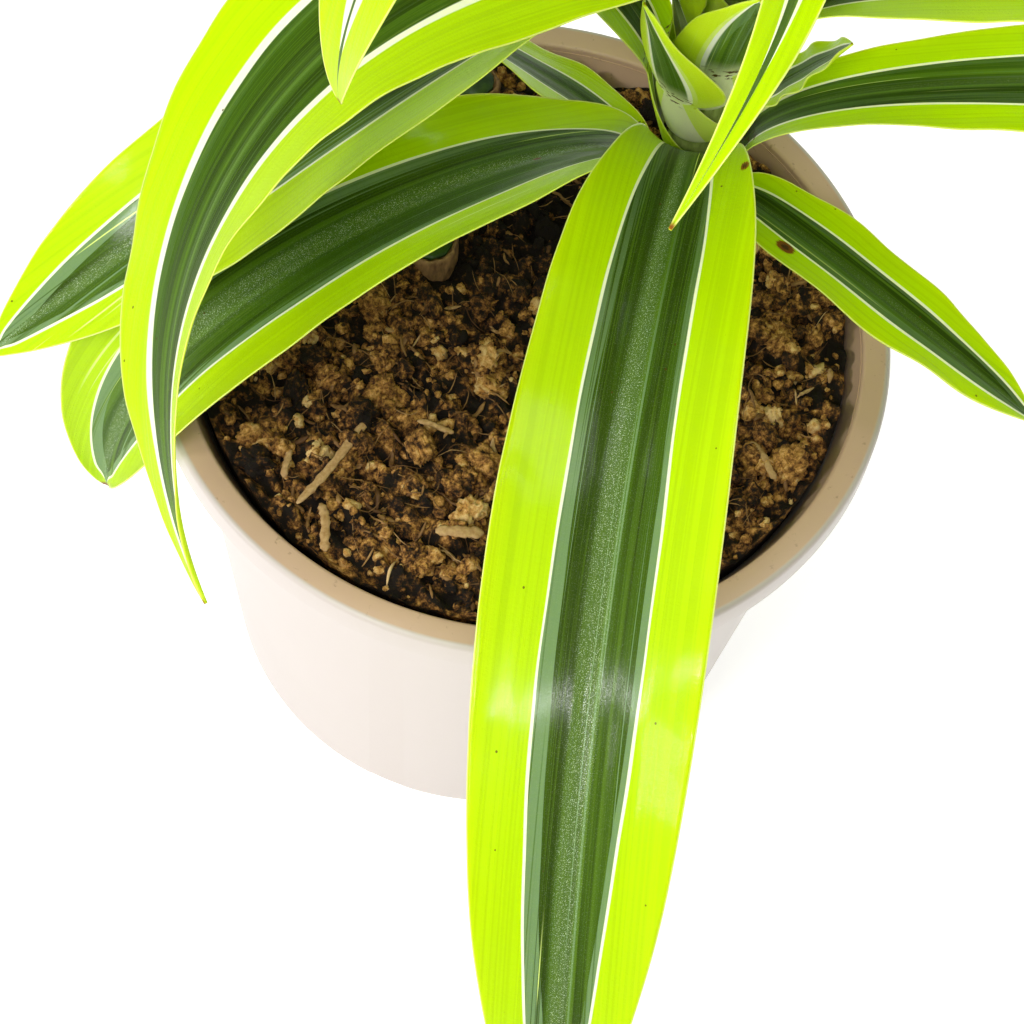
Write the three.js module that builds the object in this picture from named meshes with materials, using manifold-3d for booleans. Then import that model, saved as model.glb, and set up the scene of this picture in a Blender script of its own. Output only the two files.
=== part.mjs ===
// A potted dracaena: a plastic nursery pot filled with coir soil, two cut and waxed cane stumps, and one leafy
// cane whose strap leaves clasp it in a rising spiral.
// Millimetres, +Z up, origin at the centre of the pot's base.
import * as THREE from "three";
import { mergeVertices } from "three/addons/utils/BufferGeometryUtils.js";
import Module from "manifold-3d";

// ---- Pot ----
const POT_HEIGHT = 130;
const RIM_RADIUS = 85;
const RIM_INNER_RADIUS = 78.4;
const BASE_RADIUS = 65;
const WALL = 1.6;
const WALL_TOP = 118; // height where the inside flares out to the rim
const FLOOR = 2;
const SKIRT_DROP = 8;
const POT_SIDES = 60;
const DRAIN = { count: 6, radius: 5, ring: 42, sides: 10 };
const FOOT_NOTCH = { width: 9, height: 2.4, depth: 1 };

// ---- Soil ----
const SOIL_LEVEL = 126;
const SOIL_RADIUS = 75.2; // of its surface
const SOIL_GAP = 0.4;
const SOIL_SECTORS = 36;
const SOIL_RINGS = 11;
const CLOD_HEIGHT = 1.4;

// ---- Canes ----
const CANE = {
  x: 31, y: 30, radius: 5.3, footRadius: 7.2,
  foot: 72, bare: 114, neck: 134, top: 305, // heights
  sides: 16,
};
const CANE_RINGS = 4;
const CANE_RING = 0.35;
// x and y are those of a stump's top. The second one leans out from the pot's axis, along the wall.
const STUMPS = [
  { name: "1", x: -24, y: 17, lean: 0 },
  { name: "2", x: -20.5, y: 63.5, lean: 7 },
];
const STUMP = { radius: 6.6, foot: 75, top: 131, sides: 16 };
const WAX = { radius: 5.2, depth: 0.8, dome: 1.1 };
const HOLE_GAP = 0.35;

// ---- Leaves: a clasping sheath round the cane, then a blade that settles from upright to its own arch ----
const BLADE = 0.8; // thickness
const SHEATH = 20; // length that clasps the cane
const CONE = 0.28; // outward slope of the sheath, so that each one nests inside the next lower
const CLASP_GAP = 1.45;
const WRAP = 0.66; // share of the cane's girth that the foot of a sheath goes round
const SETTLE = 0.06; // share of the blade over which it turns from the sheath into its arch
const OPENING = 0.07; // share of the blade over which the clasping section opens
const SWING_POWER = 1.3;
const MIDRIB_STEPS = 200;
const WAVES = 3.5; // ripples of the margins along a blade
const WIDTH_PROFILE = [
  [0, 0.42], [0.065, 0.62], [0.16, 0.84], [0.29, 0.95], [0.44, 1],
  [0.59, 0.96], [0.73, 0.82], [0.85, 0.58], [0.935, 0.31], [1, 0.03],
];
const SHEATH_STATIONS = [0, 0.25, 0.5, 0.75, 1]; // shares of the sheath
const BLADE_STATIONS = [0.035, 0.08, 0.13, 0.2, 0.3, 0.41, 0.53, 0.65, 0.77, 0.87, 0.95, 1];
const ACROSS = 6; // strips across a blade
const LEAF_DEFAULTS = {
  width: 44, // at its widest, laid flat
  rise: 30, // degrees above the horizon after the sheath
  fall: 80, // degrees that the blade has drooped by its tip
  bow: 1.2, // above 1 the droop gathers towards the tip
  swing: 0, // degrees that the blade turns sideways by its tip
  tilt: 0, // roll of the blade about its midrib, in degrees
  turn: 0, // further roll by the tip
  cup: 25, // degrees of arc across the blade
  curl: 25, // the same at its tip
  taper: 1, // below 1 the widest place moves towards the cane
  wave: 0.8, // height of the ripples at the margins
};
// base is the height where a leaf leaves the cane. heading is its direction seen from above: 0 is +X, 90 is +Y.
const LEAVES = [
  {
    name: "leaf_low_back", base: 134, heading: 159, length: 107, width: 26, rise: 19, fall: 38,
    tilt: 26, turn: 31,
  },
  {
    name: "leaf_low_right", base: 140, heading: -39, length: 113, width: 22, rise: 9, fall: 45,
    swing: 26, tilt: -2, turn: -10,
  },
  {
    name: "leaf_left", base: 146, heading: 213, length: 206, width: 49, rise: 22, fall: 113, bow: 1.07,
    swing: -13, tilt: 44, turn: -91, curl: 151, taper: 1.06,
  },
  {
    name: "leaf_right", base: 152, heading: 1, length: 295, width: 31, rise: 22, fall: 56, bow: 1.23,
    swing: 3, tilt: -4, turn: 26, curl: 6, taper: 1.13,
  },
  {
    name: "leaf_front", base: 158, heading: -97, length: 278, width: 46, rise: 17, fall: 90, bow: 1.17,
    swing: 20, tilt: 6, turn: 2, curl: 21, taper: 1.04,
  },
  { name: "leaf_back_right", base: 164, heading: 5, length: 52, width: 12, rise: 54, fall: -8, swing: -30 },
  { name: "leaf_back_left", base: 170, heading: 156, length: 202, width: 30, rise: 36, fall: 59, wave: 2 },
  {
    name: "leaf_inner_left", base: 176, heading: 238, length: 64, width: 25, rise: 71, fall: 0,
    swing: -30, cup: 80, curl: 60, taper: 0.6, wave: 0,
  },
  { name: "leaf_back", base: 182, heading: 95, length: 230, width: 40, rise: 45 },
  {
    name: "leaf_inner_front", base: 188, heading: -80, length: 60, width: 24, rise: 75, fall: 0,
    swing: 20, turn: -25, taper: 0.6, wave: 0,
  },
  { name: "leaf_upper_right", base: 194, heading: -6, length: 251, rise: 37, fall: 88, bow: 1.08, tilt: -14 },
  { name: "leaf_upper_back", base: 200, heading: 112, length: 240, width: 38, rise: 58, fall: 88 },
  {
    name: "leaf_upper_left", base: 206, heading: 202, length: 206, width: 45, rise: -14, fall: 32, bow: 0.4,
    swing: 2, tilt: 41, turn: -78, curl: 47, taper: 0.83,
  },
  { name: "leaf_high_back", base: 212, heading: 65, length: 235, width: 42, rise: 50, fall: 85 },
  {
    name: "leaf_curled_left", base: 218, heading: 197, length: 222, width: 50, rise: 14, fall: 40, bow: 0.4,
    swing: 109, tilt: -37, turn: 132, curl: 42, taper: 0.69,
  },
  {
    name: "leaf_near", base: 226, heading: -77, length: 192, width: 18, rise: 70,
    swing: -37, turn: -2, taper: 0.4,
  },
  { name: "leaf_high_right", base: 232, heading: 20, length: 225, width: 38, rise: 58, fall: 85 },
  { name: "leaf_high_left", base: 238, heading: 150, length: 215, width: 36, rise: 62 },
  { name: "leaf_inner_back", base: 244, heading: 85, length: 205, width: 34, rise: 66 },
  { name: "leaf_inner_right", base: 250, heading: -20, length: 195, width: 32, rise: 70, fall: 75 },
  {
    name: "leaf_near_left", base: 256, heading: -129, length: 198, width: 29, rise: 70, fall: 176, bow: 1.81,
    swing: 15, tilt: 6, turn: 18,
  },
];
// The crown: younger leaves, each a golden angle on from the last, ever shorter, narrower and more upright.
const CROWN = { count: 6, base: 262, step: 6, heading: 60, goldenAngle: 137.5, bow: 1.4 };
const CROWN_FIRST = { length: 180, width: 30, rise: 76, fall: 55 };
const CROWN_LAST = { length: 100, width: 22, rise: 82, fall: 18 };

const COLOURS = {
  pot: 0xcdbfae,
  soil: 0x4a2f1d,
  bark: 0xa98a63,
  wax: 0x24411c,
  stem: 0xb9c66a,
  leaf: 0x7fb414,
};

const wasm = await Module();
wasm.setup();
const { cos, sin, atan, exp, min, max, PI } = Math;
const radians = THREE.MathUtils.degToRad;
const mix = THREE.MathUtils.lerp;

const plant = new THREE.Group();

function addPart(name, geometry, colour, roughness) {
  const material = new THREE.MeshStandardMaterial({ color: colour, roughness, metalness: 0 });
  const mesh = new THREE.Mesh(geometry, material);
  mesh.name = name;
  plant.add(mesh);
}

// ---- Booleans ----

function toSolid(geometry) {
  const bare = geometry.clone();
  bare.deleteAttribute("normal");
  bare.deleteAttribute("uv");
  const merged = mergeVertices(bare, 1e-4);
  return new wasm.Manifold(
    new wasm.Mesh({
      numProp: 3,
      vertProperties: new Float32Array(merged.attributes.position.array),
      triVerts: new Uint32Array(merged.index.array),
    }),
  );
}

function toGeometry(solid) {
  const mesh = solid.getMesh();
  const geometry = new THREE.BufferGeometry();
  geometry.setAttribute("position", new THREE.BufferAttribute(mesh.vertProperties, 3));
  geometry.setIndex(new THREE.BufferAttribute(mesh.triVerts, 1));
  return geometry;
}

// A solid of revolution about a vertical axis. The profile runs as [radius, height] from the axis back to it.
function turned(profile, sides) {
  const points = profile.map(([radius, height]) => new THREE.Vector2(radius, height));
  return new THREE.LatheGeometry(points, sides).rotateX(PI / 2);
}

// ---- Pot ----

function potGeometry() {
  const slope = (RIM_INNER_RADIUS - WALL - BASE_RADIUS) / POT_HEIGHT;
  const wallRadius = (height) => BASE_RADIUS + slope * height;
  const skirtFoot = POT_HEIGHT - SKIRT_DROP;
  const lip = 1.2;
  const profile = [
    [0, 0],
    [BASE_RADIUS - 3, 0],
    [BASE_RADIUS - 0.8, 0.9],
    [wallRadius(3.5), 3.5],
    [wallRadius(POT_HEIGHT - 2) + WALL, POT_HEIGHT - 2],
    [RIM_RADIUS - WALL, POT_HEIGHT - 2],
    [RIM_RADIUS - WALL, skirtFoot],
    [RIM_RADIUS - 0.3, skirtFoot],
    [RIM_RADIUS, skirtFoot + 1],
    [RIM_RADIUS, POT_HEIGHT - lip],
    [RIM_RADIUS - lip, POT_HEIGHT],
    [RIM_INNER_RADIUS + lip, POT_HEIGHT],
    [RIM_INNER_RADIUS, POT_HEIGHT - lip],
    [wallRadius(WALL_TOP) - WALL, WALL_TOP],
    [wallRadius(FLOOR + 2) - WALL, FLOOR + 2],
    [wallRadius(FLOOR) - WALL - 2, FLOOR],
    [0, FLOOR],
  ];
  let pot = toSolid(turned(profile, POT_SIDES));
  for (let i = 0; i < DRAIN.count; i += 1) {
    const angle = ((i + 0.5) * 2 * PI) / DRAIN.count;
    const hole = new THREE.CylinderGeometry(DRAIN.radius, DRAIN.radius, 3 * FLOOR, DRAIN.sides);
    hole.rotateX(PI / 2);
    hole.translate(DRAIN.ring * cos(angle), DRAIN.ring * sin(angle), FLOOR / 2);
    const notch = new THREE.BoxGeometry(2 * FOOT_NOTCH.depth, FOOT_NOTCH.width, 2 * FOOT_NOTCH.height);
    notch.translate(BASE_RADIUS, 0, 0);
    notch.rotateZ(angle + PI / 4);
    pot = pot.subtract(toSolid(hole)).subtract(toSolid(notch));
  }
  return toGeometry(pot);
}

// ---- Soil ----

// Height of the crumbly surface: overlapping ripples of unrelated lengths and directions.
function soilHeight(x, y) {
  const ripples =
    sin(0.31 * x + 1.1) * cos(0.27 * y - 0.4) +
    0.8 * sin(0.52 * x - 0.41 * y + 2) +
    0.6 * cos(0.83 * y + 0.36 * x) +
    0.5 * sin(0.9 * x + 0.7 * y - 1.3);
  return SOIL_LEVEL + CLOD_HEIGHT * ripples;
}

// A closed body from rings of points, each ring a full turn, between a first and a last single point.
function ringBody(first, rings, last) {
  const positions = [first, ...rings.flat(), last].flat();
  const sectors = rings[0].length;
  const index = [];
  const at = (ring, sector) => 1 + ring * sectors + (sector % sectors);
  const end = 1 + rings.length * sectors;
  for (let j = 0; j < sectors; j += 1) {
    index.push(0, at(0, j), at(0, j + 1));
    index.push(end, at(rings.length - 1, j + 1), at(rings.length - 1, j));
    for (let i = 0; i + 1 < rings.length; i += 1) {
      index.push(at(i, j), at(i + 1, j), at(i + 1, j + 1));
      index.push(at(i, j), at(i + 1, j + 1), at(i, j + 1));
    }
  }
  const geometry = new THREE.BufferGeometry();
  geometry.setAttribute("position", new THREE.Float32BufferAttribute(positions, 3));
  geometry.setIndex(index);
  return geometry;
}

function circle(radius, height) {
  return Array.from({ length: SOIL_SECTORS }, (unused, j) => {
    const angle = (j * 2 * PI) / SOIL_SECTORS;
    const x = radius * cos(angle);
    const y = radius * sin(angle);
    return [x, y, height === undefined ? soilHeight(x, y) : height];
  });
}

// The body to cut from the soil for a cane of this radius, standing on the vertical axis.
function bore(radius, foot) {
  const depth = POT_HEIGHT - foot + HOLE_GAP;
  const boreRadius = radius + 2 * HOLE_GAP;
  const geometry = new THREE.CylinderGeometry(boreRadius, boreRadius, depth, CANE.sides);
  return geometry.rotateX(PI / 2).translate(0, 0, POT_HEIGHT - depth / 2);
}

function soilGeometry() {
  const slope = (RIM_INNER_RADIUS - WALL - BASE_RADIUS) / POT_HEIGHT;
  const insideRadius = (height) => BASE_RADIUS + slope * height - WALL - SOIL_GAP;
  const rings = [];
  for (let i = 1; i <= SOIL_RINGS; i += 1) {
    rings.push(circle((SOIL_RADIUS * i) / SOIL_RINGS));
  }
  rings.push(circle(insideRadius(WALL_TOP), WALL_TOP));
  rings.push(circle(insideRadius(8), 8));
  rings.push(circle(insideRadius(0) - 4, FLOOR + SOIL_GAP));
  let soil = toSolid(ringBody([0, 0, soilHeight(0, 0)], rings, [0, 0, FLOOR + SOIL_GAP]));
  const caneBore = bore(CANE.footRadius, CANE.foot).translate(CANE.x, CANE.y, 0);
  const stumpBores = STUMPS.map((stump) => placeAtStump(bore(STUMP.radius, STUMP.foot), stump));
  for (const hole of [caneBore, ...stumpBores]) {
    soil = soil.subtract(toSolid(hole));
  }
  return toGeometry(soil);
}

// ---- Canes ----

// Ring scars of fallen leaves show on the bare foot of the cane. Above the neck it is a plain core.
function caneGeometry() {
  const step = (CANE.neck - CANE.bare) / CANE_RINGS;
  const profile = [[0, CANE.foot], [CANE.footRadius, CANE.foot], [CANE.footRadius, CANE.bare - step / 2]];
  for (let i = 0; i < CANE_RINGS; i += 1) {
    const height = CANE.bare + i * step;
    const radius = mix(CANE.footRadius, CANE.radius, i / CANE_RINGS);
    profile.push([radius - CANE_RING, height], [radius + CANE_RING, height + 0.8 * step]);
  }
  profile.push([CANE.radius, CANE.neck], [CANE.radius, CANE.top - 6], [0.6 * CANE.radius, CANE.top - 1.5]);
  profile.push([0, CANE.top]);
  return turned(profile, CANE.sides).translate(CANE.x, CANE.y, 0);
}

// Sets a body that was made upright on the vertical axis in its stump's place.
function placeAtStump(geometry, { x, y, lean }) {
  const inwards = Math.atan2(y, x);
  geometry.translate(0, 0, -STUMP.top);
  geometry.rotateY(radians(lean));
  geometry.rotateZ(inwards);
  return geometry.translate(x, y, STUMP.top);
}

function stumpGeometry(stump) {
  const profile = [
    [0, STUMP.foot],
    [STUMP.radius - 0.6, STUMP.foot],
    [STUMP.radius, STUMP.foot + 1],
    [STUMP.radius, STUMP.top - 0.5],
    [STUMP.radius - 0.4, STUMP.top],
    [WAX.radius + HOLE_GAP, STUMP.top],
    [WAX.radius + HOLE_GAP, STUMP.top - WAX.depth],
    [0, STUMP.top - WAX.depth],
  ];
  return placeAtStump(turned(profile, STUMP.sides), stump);
}

function waxGeometry(stump) {
  const foot = STUMP.top - WAX.depth + HOLE_GAP;
  const profile = [
    [0, foot],
    [WAX.radius, foot],
    [WAX.radius, STUMP.top],
    [0.6 * WAX.radius, STUMP.top + 0.8 * WAX.dome],
    [0, STUMP.top + WAX.dome],
  ];
  return placeAtStump(turned(profile, STUMP.sides), stump);
}

// ---- Leaves ----

// A smooth curve through the width profile's points.
function widthShare(t) {
  const last = WIDTH_PROFILE.length - 1;
  let i = 0;
  while (i < last - 1 && WIDTH_PROFILE[i + 1][0] <= t) {
    i += 1;
  }
  const slope = (k) => {
    const [x0, y0] = WIDTH_PROFILE[max(k - 1, 0)];
    const [x1, y1] = WIDTH_PROFILE[min(k + 1, last)];
    return (y1 - y0) / (x1 - x0);
  };
  const [x0, y0] = WIDTH_PROFILE[i];
  const [x1, y1] = WIDTH_PROFILE[i + 1];
  const h = x1 - x0;
  const f = (t - x0) / h;
  const start = (2 * f ** 3 - 3 * f ** 2 + 1) * y0 + (f ** 3 - 2 * f ** 2 + f) * h * slope(i);
  return start + (3 * f ** 2 - 2 * f ** 3) * y1 + (f ** 3 - f ** 2) * h * slope(i + 1);
}

// Share of the sheath's form that is left at a distance along the leaf, with t the share of the blade passed.
function sheathShare(along, t, span) {
  return along < SHEATH ? 1 : exp(-t / span);
}

function bladeShare(leaf, along) {
  return max(min((along - SHEATH) / (leaf.length - SHEATH), 1), 1e-6);
}

function direction(heading, pitch) {
  return new THREE.Vector3(cos(pitch) * cos(heading), cos(pitch) * sin(heading), sin(pitch));
}

// Direction of the midrib at a distance along the leaf, and the crosswise and upper-face vectors of its section.
// Sections of the sheath are level, those of the blade are square to the midrib.
function midribFrame(leaf, along) {
  const t = bladeShare(leaf, along);
  const clasp = sheathShare(along, t, SETTLE);
  const outwards = atan(CONE);
  const pitch = mix(radians(leaf.rise - leaf.fall * t ** leaf.bow), PI / 2 - outwards, clasp);
  const heading = radians(leaf.heading + leaf.swing * t ** SWING_POWER);
  const roll = radians(leaf.tilt * (1 - clasp) + leaf.turn * t);
  const forward = direction(heading, pitch);
  const square = direction(heading, pitch + outwards * clasp);
  const across = new THREE.Vector3(-sin(heading), cos(heading), 0).applyAxisAngle(square, roll);
  return { t, forward, across, up: square.clone().cross(across) };
}

// Points of the midrib at each station, by adding up small steps.
function midribPoints(leaf, stations) {
  const heading = radians(leaf.heading);
  const radius = CANE.radius + CLASP_GAP;
  const point = new THREE.Vector3(CANE.x + radius * cos(heading), CANE.y + radius * sin(heading), leaf.base);
  const points = [];
  let along = 0;
  for (const station of stations) {
    const steps = max(1, Math.round(((station - along) * MIDRIB_STEPS) / leaf.length));
    const step = (station - along) / steps;
    for (let i = 0; i < steps && station > along; i += 1) {
      point.addScaledVector(midribFrame(leaf, along + (i + 0.5) * step).forward, step);
    }
    along = station;
    points.push(point.clone());
  }
  return points;
}

// The section at a station is an arc of constant curve. It follows the cane in the sheath, which is widest at its
// foot.
function sectionPoints(leaf, along, origin, lowered) {
  const { t, across, up } = midribFrame(leaf, along);
  const bladeWidth = leaf.width * widthShare(min(t ** leaf.taper, 1));
  const wrapWidth = WRAP * 2 * PI * (CANE.radius + CLASP_GAP);
  const width = mix(wrapWidth, bladeWidth, min(along / SHEATH, 1));
  const sheathCurve = 1 / (CANE.radius + CLASP_GAP + CONE * min(along, SHEATH));
  const bladeCurve = radians(mix(leaf.cup, leaf.curl, t)) / max(width, 4);
  const curve = mix(bladeCurve, sheathCurve, sheathShare(along, t, OPENING));
  const rippleHeight = leaf.wave * min(4 * t, 1) * (1 - t) ** 0.3;
  return Array.from({ length: ACROSS + 1 }, (unused, j) => {
    const share = (2 * j) / ACROSS - 1;
    const angle = (share * width * curve) / 2;
    const phase = 2 * PI * WAVES * t + radians(leaf.heading) + (share > 0 ? PI / 2 : 0);
    const ripple = rippleHeight * share ** 2 * sin(phase);
    return origin
      .clone()
      .addScaledVector(across, sin(angle) / curve + lowered * sin(angle))
      .addScaledVector(up, (1 - cos(angle)) / curve - lowered * cos(angle) + ripple)
      .toArray();
  });
}

function leafGeometry(leaf) {
  const stations = [
    ...SHEATH_STATIONS.map((share) => share * SHEATH),
    ...BLADE_STATIONS.map((share) => mix(SHEATH, leaf.length, share)),
  ];
  const midrib = midribPoints(leaf, stations);
  const rings = stations.map((along, i) => {
    const upper = sectionPoints(leaf, along, midrib[i], 0);
    const lower = sectionPoints(leaf, along, midrib[i], BLADE);
    return [...upper, ...lower.reverse()];
  });
  return stripBody(rings);
}

// A closed body from rings that hold an upper row of points and, in the opposite order, the row below it.
function stripBody(rings) {
  const count = rings[0].length;
  const row = count / 2;
  const index = [];
  const at = (ring, k) => ring * count + (k % count);
  const quad = (a, b, c, d) => index.push(a, b, c, a, c, d);
  for (let i = 0; i + 1 < rings.length; i += 1) {
    for (let k = 0; k < count; k += 1) {
      if (k < row) {
        quad(at(i, k), at(i + 1, k), at(i + 1, k + 1), at(i, k + 1));
      } else {
        quad(at(i, k + 1), at(i, k), at(i + 1, k), at(i + 1, k + 1));
      }
    }
  }
  const lastRing = rings.length - 1;
  for (let k = 0; k + 1 < row; k += 1) {
    quad(at(0, k), at(0, k + 1), at(0, count - 2 - k), at(0, count - 1 - k));
    quad(at(lastRing, k), at(lastRing, count - 1 - k), at(lastRing, count - 2 - k), at(lastRing, k + 1));
  }
  const geometry = new THREE.BufferGeometry();
  geometry.setAttribute("position", new THREE.Float32BufferAttribute(rings.flat(2), 3));
  geometry.setIndex(index);
  return geometry;
}

function crownLeaf(i) {
  const age = i / (CROWN.count - 1);
  return {
    name: `crown_leaf_${i + 1}`,
    base: CROWN.base + CROWN.step * i,
    heading: CROWN.heading + CROWN.goldenAngle * i,
    length: mix(CROWN_FIRST.length, CROWN_LAST.length, age),
    width: mix(CROWN_FIRST.width, CROWN_LAST.width, age),
    rise: mix(CROWN_FIRST.rise, CROWN_LAST.rise, age),
    fall: mix(CROWN_FIRST.fall, CROWN_LAST.fall, age),
    bow: CROWN.bow,
  };
}

// ---- Assembly ----

addPart("pot", potGeometry(), COLOURS.pot, 0.45);
addPart("soil", soilGeometry(), COLOURS.soil, 0.95);
addPart("cane", caneGeometry(), COLOURS.stem, 0.6);
for (const stump of STUMPS) {
  addPart(`stump_${stump.name}`, stumpGeometry(stump), COLOURS.bark, 0.8);
  addPart(`wax_cap_${stump.name}`, waxGeometry(stump), COLOURS.wax, 0.35);
}
const crown = Array.from({ length: CROWN.count }, (unused, i) => crownLeaf(i));
for (const leaf of [...LEAVES, ...crown]) {
  addPart(leaf.name, leafGeometry({ ...LEAF_DEFAULTS, ...leaf }), COLOURS.leaf, 0.35);
}

export default plant;
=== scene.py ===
"""The looks of the potted dracaena, built in metres round its solids.

Each piece is drawn in millimetres and scaled as it becomes a mesh. The leaves repeat the growth rule of the
solids with a finer net, and carry their own places across and along the blade for the stripes.
"""

import math

import bmesh
import bpy
import numpy as np
from mathutils import Matrix, Vector


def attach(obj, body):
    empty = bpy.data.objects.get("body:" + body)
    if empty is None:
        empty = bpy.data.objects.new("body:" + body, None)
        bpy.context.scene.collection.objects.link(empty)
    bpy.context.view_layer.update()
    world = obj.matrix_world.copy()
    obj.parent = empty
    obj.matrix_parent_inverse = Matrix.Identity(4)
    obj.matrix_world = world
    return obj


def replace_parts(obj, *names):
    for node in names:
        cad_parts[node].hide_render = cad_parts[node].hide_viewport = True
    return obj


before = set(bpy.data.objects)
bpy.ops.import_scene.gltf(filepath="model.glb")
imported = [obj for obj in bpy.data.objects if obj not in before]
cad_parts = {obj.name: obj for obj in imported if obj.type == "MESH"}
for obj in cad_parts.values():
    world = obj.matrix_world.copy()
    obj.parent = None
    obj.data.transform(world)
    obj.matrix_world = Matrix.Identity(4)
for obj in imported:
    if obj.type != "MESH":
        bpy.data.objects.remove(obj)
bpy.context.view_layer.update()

MM = 0.001
TAU = 2 * math.pi

# ---- Driving sizes, as in the solids ----
POT_HEIGHT = 130
RIM_RADIUS = 85
RIM_INNER_RADIUS = 78.4
BASE_RADIUS = 65
WALL = 1.6
WALL_TOP = 118
FLOOR = 2
SKIRT_DROP = 8
DRAIN = {"count": 6, "radius": 5, "ring": 42}
FOOT_NOTCH = {"width": 9, "height": 2.4, "depth": 1}
SOIL_LEVEL = 126
SOIL_RADIUS = 75.2
SOIL_GAP = 0.4
CLOD_HEIGHT = 1.4
CANE = {
    "x": 31, "y": 30, "radius": 5.3, "foot_radius": 7.2, "foot": 72, "bare": 114, "neck": 134, "top": 305,
}
CANE_RINGS = {"count": 4, "depth": 0.35}
STUMPS = {"1": {"x": -24, "y": 17, "lean": 0}, "2": {"x": -20.5, "y": 63.5, "lean": 7}}
STUMP = {"radius": 6.6, "foot": 75, "top": 131}
WAX = {"radius": 5.2, "depth": 0.8, "dome": 1.1}
HOLE_GAP = 0.35

# ---- Leaves: the growth rule of the solids ----
SHEATH = 20
CONE = 0.28
CLASP_GAP = 1.45
WRAP = 0.66
SETTLE = 0.06
OPENING = 0.07
SWING_POWER = 1.3
WAVES = 3.5
WIDTH_PROFILE = [
    (0, 0.42), (0.065, 0.62), (0.16, 0.84), (0.29, 0.95), (0.44, 1),
    (0.59, 0.96), (0.73, 0.82), (0.85, 0.58), (0.935, 0.31), (1, 0.03),
]
LEAF_DEFAULTS = {
    "width": 44, "rise": 30, "fall": 80, "bow": 1.2, "swing": 0, "tilt": 0, "turn": 0,
    "cup": 25, "curl": 25, "taper": 1, "wave": 0.8,
    # Marks: share of the half width that is dark, half width of the white line, strength of the pale stripes,
    # a brown spot as (across, along, radius) or None for one anywhere, and the share of the blade over which
    # the dark centre narrows to nothing at the tip.
    "centre": 0.45, "line": 0.28, "stripes": 0.4, "spot": None, "lime_tip": 0.04,
}
LEAVES = {
    "leaf_low_back": {
        "base": 134, "heading": 159, "length": 107, "width": 26, "rise": 19, "fall": 38,
        "tilt": 26, "turn": 31,
    },
    "leaf_low_right": {
        "base": 140, "heading": -39, "length": 113, "width": 22, "rise": 9, "fall": 45,
        "swing": 26, "tilt": -2, "turn": -10, "spot": (-6, 44, 1.4),
    },
    "leaf_left": {
        "base": 146, "heading": 213, "length": 206, "width": 49, "rise": 22, "fall": 113, "bow": 1.07,
        "swing": -13, "tilt": 44, "turn": -91, "curl": 151, "taper": 1.06, "stripes": 0.9,
    },
    "leaf_right": {
        "base": 152, "heading": 1, "length": 295, "width": 31, "rise": 22, "fall": 56, "bow": 1.23,
        "swing": 3, "tilt": -4, "turn": 26, "curl": 6, "taper": 1.13,
    },
    "leaf_front": {
        "base": 158, "heading": -97, "length": 278, "width": 46, "rise": 17, "fall": 90, "bow": 1.17,
        "swing": 20, "tilt": 6, "turn": 2, "curl": 21, "taper": 1.04,
        "stripes": 0.95, "spot": (14, 43, 0.9),
    },
    "leaf_back_right": {
        "base": 164, "heading": 5, "length": 52, "width": 12, "rise": 54, "fall": -8, "swing": -30,
    },
    "leaf_back_left": {
        "base": 170, "heading": 156, "length": 202, "width": 30, "rise": 36, "fall": 59, "wave": 2,
    },
    "leaf_inner_left": {
        "base": 176, "heading": 238, "length": 64, "width": 25, "rise": 71, "fall": 0,
        "swing": -30, "cup": 80, "curl": 60, "taper": 0.6, "wave": 0, "line": 1.4,
    },
    "leaf_back": {"base": 182, "heading": 95, "length": 230, "width": 40, "rise": 45},
    "leaf_inner_front": {
        "base": 188, "heading": -80, "length": 60, "width": 24, "rise": 75, "fall": 0,
        "swing": 20, "turn": -25, "taper": 0.6, "wave": 0, "line": 1.4,
    },
    "leaf_upper_right": {
        "base": 194, "heading": -6, "length": 251, "rise": 37, "fall": 88, "bow": 1.08, "tilt": -14,
    },
    "leaf_upper_back": {"base": 200, "heading": 112, "length": 240, "width": 38, "rise": 58, "fall": 88},
    "leaf_upper_left": {
        "base": 206, "heading": 202, "length": 206, "width": 45, "rise": -14, "fall": 32, "bow": 0.4,
        "swing": 2, "tilt": 41, "turn": -78, "curl": 47, "taper": 0.83, "stripes": 0.9,
    },
    "leaf_high_back": {"base": 212, "heading": 65, "length": 235, "width": 42, "rise": 50, "fall": 85},
    "leaf_curled_left": {
        "base": 218, "heading": 197, "length": 222, "width": 50, "rise": 14, "fall": 40, "bow": 0.4,
        "swing": 109, "tilt": -37, "turn": 132, "curl": 42, "taper": 0.69,
        "line": 0.8, "stripes": 0.1,
    },
    "leaf_near": {
        "base": 226, "heading": -77, "length": 192, "width": 18, "rise": 70,
        "swing": -37, "turn": -2, "taper": 0.4,
        "centre": 0.42, "line": 0.5, "stripes": 0.1, "lime_tip": 0.6,
    },
    "leaf_high_right": {"base": 232, "heading": 20, "length": 225, "width": 38, "rise": 58, "fall": 85},
    "leaf_high_left": {"base": 238, "heading": 150, "length": 215, "width": 36, "rise": 62},
    "leaf_inner_back": {"base": 244, "heading": 85, "length": 205, "width": 34, "rise": 66},
    "leaf_inner_right": {"base": 250, "heading": -20, "length": 195, "width": 32, "rise": 70, "fall": 75},
    "leaf_near_left": {
        "base": 256, "heading": -129, "length": 198, "width": 29, "rise": 70, "fall": 176, "bow": 1.81,
        "swing": 15, "tilt": 6, "turn": 18, "centre": 0.22, "line": 0.9, "stripes": 0.1, "lime_tip": 0.25,
    },
}
CROWN = {"count": 6, "base": 262, "step": 6, "heading": 60, "golden_angle": 137.5, "bow": 1.4}
CROWN_FIRST = {"length": 180, "width": 30, "rise": 76, "fall": 55}
CROWN_LAST = {"length": 100, "width": 22, "rise": 82, "fall": 18}

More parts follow.
